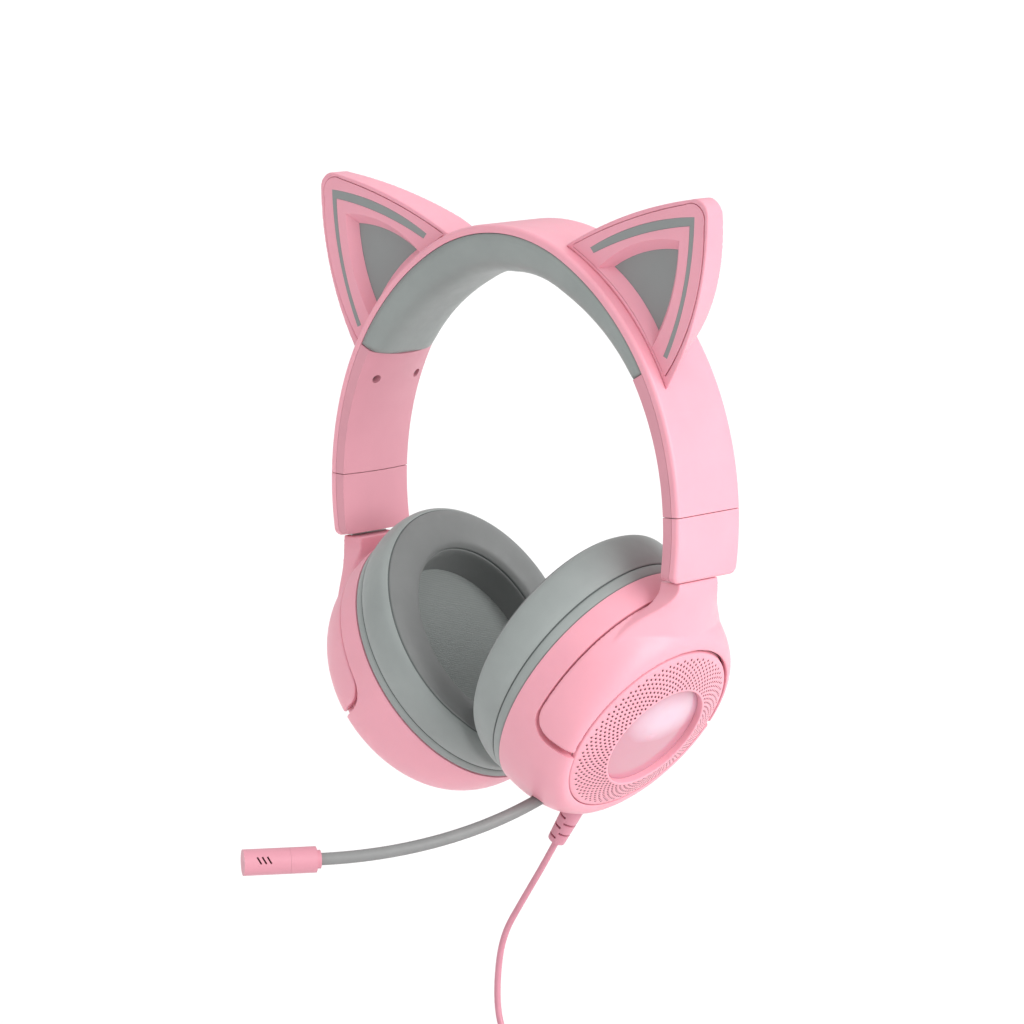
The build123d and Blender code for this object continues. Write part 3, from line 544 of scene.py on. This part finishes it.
def cushion_ring(depth, across, swell, side):
    """One ring of the cushion, blended between the cup's plane and the tilted face."""
    base_origin = DISC + OUT * (-FLANGE_DEPTH - 0.2)
    face_origin = DISC + OUT * (-FLANGE_DEPTH - FACE_IN) + UP * FACE_UP
    face_up = Vector((sin(FACE_TILT), 0, cos(FACE_TILT)))
    up = UP.lerp(face_up, depth).normalized()
    origin = base_origin.lerp(face_origin, depth) - up * (HOLLOW_DROP * across)
    bulged = depth ** 0.8 if depth > 0 else 0.0
    outer_a = BASE_A + (FACE_A - BASE_A) * depth
    outer_b = BASE_B + (FACE_B - BASE_B) * bulged
    half_a = outer_a + (HOLLOW_A - outer_a) * across + swell
    half_b = outer_b + (HOLLOW_B - outer_b) * across + swell
    ring = []
    for i in range(CUSHION_SEGMENTS):
        a = 2 * pi * i / CUSHION_SEGMENTS
        p = origin + BACK * (half_b * cos(a)) + up * (half_a * sin(a))
        short = (MIDLINE_GAP + MIDLINE_BLEND - p.x) / MIDLINE_BLEND
        if short > 0:
            p = p + Vector((MIDLINE_BLEND * (short - 1 + (1 + short ** 2) ** -0.5), 0, 0))
            p.x = max(p.x, MIDLINE_GAP)
        ring.append(Vector((p.x * side, p.y, p.z)) * MM)
    return ring


def seam_groove(depth, across):
    """How far the cover is drawn in by the nearest seam, in millimetres."""
    sink = 0.0
    for seam_depth, seam_across in SEAMS:
        distance = sqrt(((depth - seam_depth) * FACE_IN) ** 2 + ((across - seam_across) * RING_WIDTH) ** 2)
        sink = max(sink, SEAM_DEPTH * max(0.0, 1 - distance / SEAM_REACH))
    return sink


def cushion_profile():
    """Dense section, with the cover drawn in at each seam."""
    middle = (0.5, 0.5)
    profile = []
    for depth, across, swell in catmull(CUSHION_SECTION, 7):
        sink = seam_groove(depth, across)
        toward = Vector(((middle[0] - depth) * FACE_IN, (middle[1] - across) * RING_WIDTH))
        toward = toward.normalized() * sink
        profile.append((depth + toward.x / FACE_IN, across + toward.y / RING_WIDTH, swell, sink))
    return profile


def build_cushion(side, label):
    """Padded ring of one ear, in its side and seam materials, with its face and hollow in a darker copy of
    the side's grey as painted shade.
    """
    profile = cushion_profile()
    rings = [cushion_ring(depth, across, swell, side) for depth, across, swell, _ in profile]
    sinks = [row[3] for row in profile]

    def slot_of(j):
        k = (j + 1) % len(sinks)
        if min(sinks[j], sinks[k]) > SEAM_SHOWS:
            return 1
        # the face and hollow take the darker painted-shade copy
        return 2 if profile[j][1] > SEAMS[1][1] else 0

    verts, faces = loft(rings, wrap=True, slot_of=slot_of)
    cushion = make_object("ear_cushion_cover_" + label, verts, faces, [CUSHION, CUSHION_SEAM, CUSHION_FACE_PAINTED_SHADE])
    outward(cushion)
    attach(cushion, "cup_" + label)
    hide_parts("ear_cushion_" + label)


# ---------------------------------------------------------------- moulded pieces with soft edges
def soften(node, name, body, material, voxel=0.00045, passes=8):
    """Moulded look of a CAD node: same shape, with its edges and inner corners rounded."""
    piece = bpy.data.objects.new(name, nodes[node].data.copy())
    bpy.context.scene.collection.objects.link(piece)
    remesh = piece.modifiers.new("remesh", "REMESH")
    remesh.mode = "VOXEL"
    remesh.voxel_size = voxel
    remesh.use_smooth_shade = True
    smooth = piece.modifiers.new("smooth", "SMOOTH")
    smooth.factor = 0.5
    smooth.iterations = passes
    apply_modifiers(piece)
    piece.data.materials.clear()
    piece.data.materials.append(material)
    piece.data.shade_smooth()
    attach(piece, body)
    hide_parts(node)
    return piece


# ---------------------------------------------------------------- crown pad
PAD_DEPTHS = [(0.0, CROWN_DEPTH), (30.0, 13.6), (PAD_END, 8.8)]     # (angle, depth)
PAD_STOPS = 120
PAD_POINTS = 36
PAD_END_SHRINK = (0.4, 0.12, 0.03)   # rounds the edge of the pad's ends


def pad_depth(angle):
    """Depth of the crown pad below the parting line at an angle."""
    a = abs(angle)
    for (a0, d0), (a1, d1) in zip(PAD_DEPTHS, PAD_DEPTHS[1:]):
        if a <= a1:
            t = (a - a0) / (a1 - a0)
            t = t * t * (3 - 2 * t) * 0.35 + t * 0.65
            return d0 + (d1 - d0) * t
    return PAD_DEPTHS[-1][1]


def pad_section(angle, shrink):
    """Barrel-shaped section, fuller at the crown than at the ends."""
    depth = pad_depth(angle) - shrink
    half = BAND_HALF - 0.12 - shrink * 0.5
    power = 2 / (2.9 + 0.5 * abs(angle) / PAD_END)
    ring = []
    for i in range(PAD_POINTS + 1):
        a = pi * i / PAD_POINTS
        y = half * abs(cos(a)) ** power * (1 if a < pi / 2 else -1)
        off = -0.25 - (depth - 0.25) * sin(a) ** power
        ring.append(arch(angle, off, y))
    return ring


def build_pad():
    """Padded cover under the crown, from one end to the other."""
    stops = [-PAD_END + 0.1 + (2 * PAD_END - 0.2) * i / PAD_STOPS for i in range(PAD_STOPS + 1)]
    rings = []
    for i, angle in enumerate(stops):
        from_end = min(i, PAD_STOPS - i)
        shrink = PAD_END_SHRINK[from_end] if from_end < len(PAD_END_SHRINK) else 0.0
        rings.append(pad_section(angle, shrink))
    verts, faces = loft(rings, capped=True)
    pad = make_object("crown_pad_cover", verts, faces, [PAD])
    outward(pad)
    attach(pad, "root")
    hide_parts("band_pad")


# ---------------------------------------------------------------- driver cloths
CLOTH_MARGIN = 0.9                   # the cloth reaches this far under the cushion
CLOTH_DISH = 1.6
CLOTH_RINGS = 24
CLOTH_SEGMENTS = 96


def build_cloth(side, label):
    """Thin fabric stretched over the driver, dished a little in its middle."""
    a = HOLLOW_A + CLOTH_MARGIN
    b = HOLLOW_B + CLOTH_MARGIN
    rim_z = -FLANGE_DEPTH - CLOTH_LIFT
    rings = []
    for j in range(1, CLOTH_RINGS + 1):
        s = j / CLOTH_RINGS
        z = rim_z + CLOTH_DISH * (1 - s * s) ** 2
        ring = []
        for i in range(CLOTH_SEGMENTS):
            t = 2 * pi * i / CLOTH_SEGMENTS
            ring.append(cup_point(b * s * cos(t), a * s * sin(t), z, side))
        rings.append(ring)
    verts, faces = loft(rings)
    middle = len(verts)
    verts.append(cup_point(0, 0, rim_z + CLOTH_DISH, side))
    faces += [((middle, (i + 1) % CLOTH_SEGMENTS, i), 0) for i in range(CLOTH_SEGMENTS)]
    cloth = make_object("driver_fabric_" + label, verts, faces, [CLOTH])
    outward(cloth)
    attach(cloth, "cup_" + label)
    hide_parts("driver_cloth_" + label)


# ---------------------------------------------------------------- perforated grilles
GRILLE_R = 35.6
GRILLE_RISE = 4.4
EYE_R = 21.5
HOLE_ROWS = 12
HOLES_PER_ROW = 58
HOLE_R = 0.42
HOLE_SIDES = 12
HOLE_DEPTH = 0.9
CELL_NEAR = 0.17                     # corners of a hole's hexagonal cell, as shares of the pitch
CELL_FAR = 0.33
OUTER_ROW = 33.3
INNER_ROW = 22.85


def grille_height(r):
    """Height of the cone's surface at a radius."""
    slope_end = EYE_R + 0.8
    return GRILLE_RISE * min(1.0, (GRILLE_R - r) / (GRILLE_R - slope_end))


def hole_cell(r, turn, pitch, step):
    """Twelve points round a hole's hexagonal cell, as (radius, angle)."""
    near = CELL_NEAR * pitch
    far = CELL_FAR * pitch
    corners = [
        (r, far), (r + step, near), (r + step, -near),
        (r, -far), (r - step, -near), (r - step, near),
    ]
    points = []
    for (r0, a0), (r1, a1) in zip(corners, corners[1:] + corners[:1]):
        points.append((r0, turn + a0))
        points.append(((r0 + r1) / 2, turn + (a0 + a1) / 2))
    return points


class GrilleMesh:
    """Collects the grille's faces from points in (radius, angle, height)."""

    def __init__(self, side):
        self.side = side
        self.verts = []
        self.faces = []

    def add(self, r, a, z):
        self.verts.append(cup_point(r * cos(a), r * sin(a), z, self.side))
        return len(self.verts) - 1

    def top(self, r, a):
        return self.add(r, a, grille_height(r))

    def hole(self, r, turn, pitch, step):
        """One hole: the surface of its cell, and its wall and bottom in the painted-shade material."""
        outer = [self.top(*p) for p in hole_cell(r, turn, pitch, step)]
        rim = []
        bottom = []
        for i in range(HOLE_SIDES):
            t = 2 * pi * i / HOLE_SIDES
            hr = r + HOLE_R * sin(t)
            ha = turn + HOLE_R * cos(t) / r
            rim.append(self.top(hr, ha))
            bottom.append(self.add(hr, ha, grille_height(hr) - HOLE_DEPTH))
        for i in range(HOLE_SIDES):
            k = (i + 1) % HOLE_SIDES
            self.faces.append(((outer[i], outer[k], rim[k], rim[i]), 0))
            self.faces.append(((rim[i], rim[k], bottom[k], bottom[i]), 1))
        self.faces.append((tuple(bottom), 1))

    def notch(self, r, edge, turn, pitch):
        """Fills the gap between two holes of the first or last row and a plain circle."""
        near = CELL_NEAR * pitch
        far = CELL_FAR * pitch
        middle = (r + edge) / 2
        corners = [
            (edge, turn + near), (middle, turn + (near + far) / 2), (r, turn + far), (r, turn + pitch / 2),
            (r, turn + pitch - far), (middle, turn + pitch - (near + far) / 2), (edge, turn + pitch - near),
        ]
        self.faces.append((tuple(self.top(*p) for p in corners), 0))

    def band(self, rows, angles):
        """Plain bands through (radius, height) rows at the given angles."""
        rings = [[self.add(r, a, z) for a in angles] for r, z in rows]
        for lower, upper in zip(rings, rings[1:]):
            for i in range(len(angles)):
                k = (i + 1) % len(angles)
                self.faces.append(((lower[i], lower[k], upper[k], upper[i]), 0))


def build_grille(side, label):
    """Conical ring with rows of holes, staggered from row to row, and turned-down rims."""
    mesh = GrilleMesh(side)
    step = (OUTER_ROW - INNER_ROW) / (HOLE_ROWS - 1)
    pitch = 2 * pi / HOLES_PER_ROW
    for row in range(HOLE_ROWS):
        for i in range(HOLES_PER_ROW):
            mesh.hole(OUTER_ROW - row * step, (i + 0.5 * (row % 2)) * pitch, pitch, step)
    last = 0.5 * ((HOLE_ROWS - 1) % 2)
    for i in range(HOLES_PER_ROW):
        mesh.notch(OUTER_ROW, OUTER_ROW + step, i * pitch, pitch)
        mesh.notch(INNER_ROW, INNER_ROW - step, (i + last) * pitch, pitch)
    outer_rim = [(GRILLE_R - 0.55, 0.16), (GRILLE_R - 0.2, 0.0), (GRILLE_R, -0.35), (GRILLE_R, -1.5)]
    inner_rim = [
        (EYE_R + 0.3, GRILLE_RISE - 0.02), (EYE_R + 0.08, GRILLE_RISE - 0.15),
        (EYE_R, GRILLE_RISE - 0.42), (EYE_R, 0.2),
    ]
    for shift, start, profile in (
        (0.0, OUTER_ROW + step, outer_rim),
        (last, INNER_ROW - step, inner_rim),
    ):
        angles = []
        for i in range(HOLES_PER_ROW):
            for offset in (-CELL_NEAR, 0.0, CELL_NEAR):
                angles.append((i + shift + offset) * pitch)
        mesh.band([(start, grille_height(start)), *profile], angles)
    grille = make_object("perforated_grille_" + label, mesh.verts, mesh.faces, [GRILLE, HOLE_PAINTED_SHADE])
    weld(grille)
    outward_by_axis(grille, side)
    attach(grille, "cup_" + label)
    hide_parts("grille_" + label)


def weld(obj, distance=0.00002):
    """Joins points that lie on each other."""
    bm = bmesh.new()
    bm.from_mesh(obj.data)
    bmesh.ops.remove_doubles(bm, verts=bm.verts, dist=distance)
    bm.to_mesh(obj.data)
    bm.free()


def outward_by_axis(obj, side):
    """Consistent face directions for an open plate that looks out of the cup."""
    axis = Vector((OUT.x * side, 0, OUT.z))
    bm = bmesh.new()
    bm.from_mesh(obj.data)
    bmesh.ops.recalc_face_normals(bm, faces=bm.faces)
    facing = sum(f.normal.dot(axis) * f.calc_area() for f in bm.faces)
    if facing < 0:
        bmesh.ops.reverse_faces(bm, faces=bm.faces)
    bm.to_mesh(obj.data)
    bm.free()


# ---------------------------------------------------------------- finishes of the CAD nodes that show
def dress_nodes():
    """Gives every CAD node its procedural material."""
    finishes = {
        "shell_pink": SHELL, "ear_pink": EAR, "yoke_pink": YOKE, "grille_pink": GRILLE,
        "lens_pink": lens_with_painted_highlight("lens_painted_highlight_l", 1), "mic_pink": MIC, "light_grey": LIGHT_BAR,
        "circuit_board": BOARD, "pad_grey": PAD, "cushion_grey": CUSHION, "inner_plastic": INNER,
        "spring_steel": SPRING, "screw_steel": SCREW, "magnet_steel": MAGNET, "driver_cloth": CLOTH,
        "cable_pink": CABLE, "tie_grey": TIE, "plug_steel": PLUG, "boom_grey": BOOM,
    }
    for part in frame["record"]["subparts"]:
        nodes[part["node"]].data.materials[0] = finishes[part["material_slot"]]
    nodes["centre_lens_r"].data.materials[0] = lens_with_painted_highlight("lens_painted_highlight_r", -1)
    # painted shade: the inner covers and inner end caps get the darker copy of the shell pink
    for name in ("inner_cover_l", "inner_cover_r", "end_cap_inner_l", "end_cap_inner_r"):
        nodes[name].data.materials[0] = INNER_COVER_PAINTED_SHADE
    # painted shade: the capsule seen through the mic's slots is a darker copy of the mic pink
    nodes["mic_capsule"].data.materials[0] = plastic("mic_slot_painted_shade", (0.30, 0.10, 0.13), 0.6)


# ---------------------------------------------------------------- stage, light and camera
FLOOR_RADIUS = 14.0                  # in metres
FLOOR_SIDES = 96
WORLD_STRENGTH = 0.60
SUNS = (                             # name, direction towards the light, strength, spread in degrees
    ("key_right", (0.95, 0.10, 0.30), 2.6, 50.0),
    ("overhead", (-0.1, 0.0, 0.99), 1.0, 120.0),
)
FOCAL_LENGTH = 161.9                 # in millimetres, as is the sensor's width
SENSOR_WIDTH = 36.0
CAMERA_PLACE = (1.1133, -1.2188, 0.1721)
CAMERA_RIGHT = (0.7362, 0.6767, -0.0054)
CAMERA_BACK = (0.6691, -0.7267, 0.1555)


def build_stage():
    """Round pale floor, an even pale surround and two soft suns."""
    ring = []
    for i in range(FLOOR_SIDES):
        a = 2 * pi * i / FLOOR_SIDES
        ring.append(Vector((FLOOR_RADIUS * cos(a), FLOOR_RADIUS * sin(a), FLOOR_Z * MM)))
    faces = [(tuple(range(FLOOR_SIDES)), 0)]
    floor = make_object("floor", ring, faces, [floor_material()], smooth=False)

    world = bpy.data.worlds.new("studio")
    world.use_nodes = True
    background = world.node_tree.nodes["Background"]
    background.inputs["Color"].default_value = (1.0, 1.0, 1.0, 1)
    background.inputs["Strength"].default_value = WORLD_STRENGTH
    bpy.context.scene.world = world
    bpy.context.scene.view_settings.view_transform = "Standard"

    for name, towards, strength, spread in SUNS:
        light = bpy.data.lights.new(name, "SUN")
        light.energy = strength
        light.angle = radians(spread)
        lamp = bpy.data.objects.new(name, light)
        lamp.rotation_euler = Vector(towards).to_track_quat("Z", "Y").to_euler()
        bpy.context.scene.collection.objects.link(lamp)


def build_camera():
    """Long lens, in front and on the wearer's left, a little above the headset."""
    data = bpy.data.cameras.new("camera")
    data.lens = FOCAL_LENGTH
    data.sensor_width = SENSOR_WIDTH
    data.clip_start = 0.05
    data.clip_end = 200.0
    camera = bpy.data.objects.new("camera", data)
    right = Vector(CAMERA_RIGHT).normalized()
    back = Vector(CAMERA_BACK).normalized()
    up = back.cross(right).normalized()
    right = up.cross(back)
    turn = Matrix((right, up, back)).transposed().to_4x4()
    camera.matrix_world = Matrix.Translation(CAMERA_PLACE) @ turn
    bpy.context.scene.collection.objects.link(camera)
    bpy.context.scene.camera = camera


build_camera()
dress_nodes()
build_cable(soften("cable_tie", "coil_strap", "cup_l", TIE, 0.0003, 6))
build_stage()
for side, label in ((1, "l"), (-1, "r")):
    build_cushion(side, label)
    build_cloth(side, label)
    build_grille(side, label)
    soften("yoke_" + label, "yoke_shield_" + label, "yoke_" + label, YOKE)
    soften("ear_shell_" + label, "ear_housing_" + label, "root", EAR, 0.00042, 5)
build_pad()
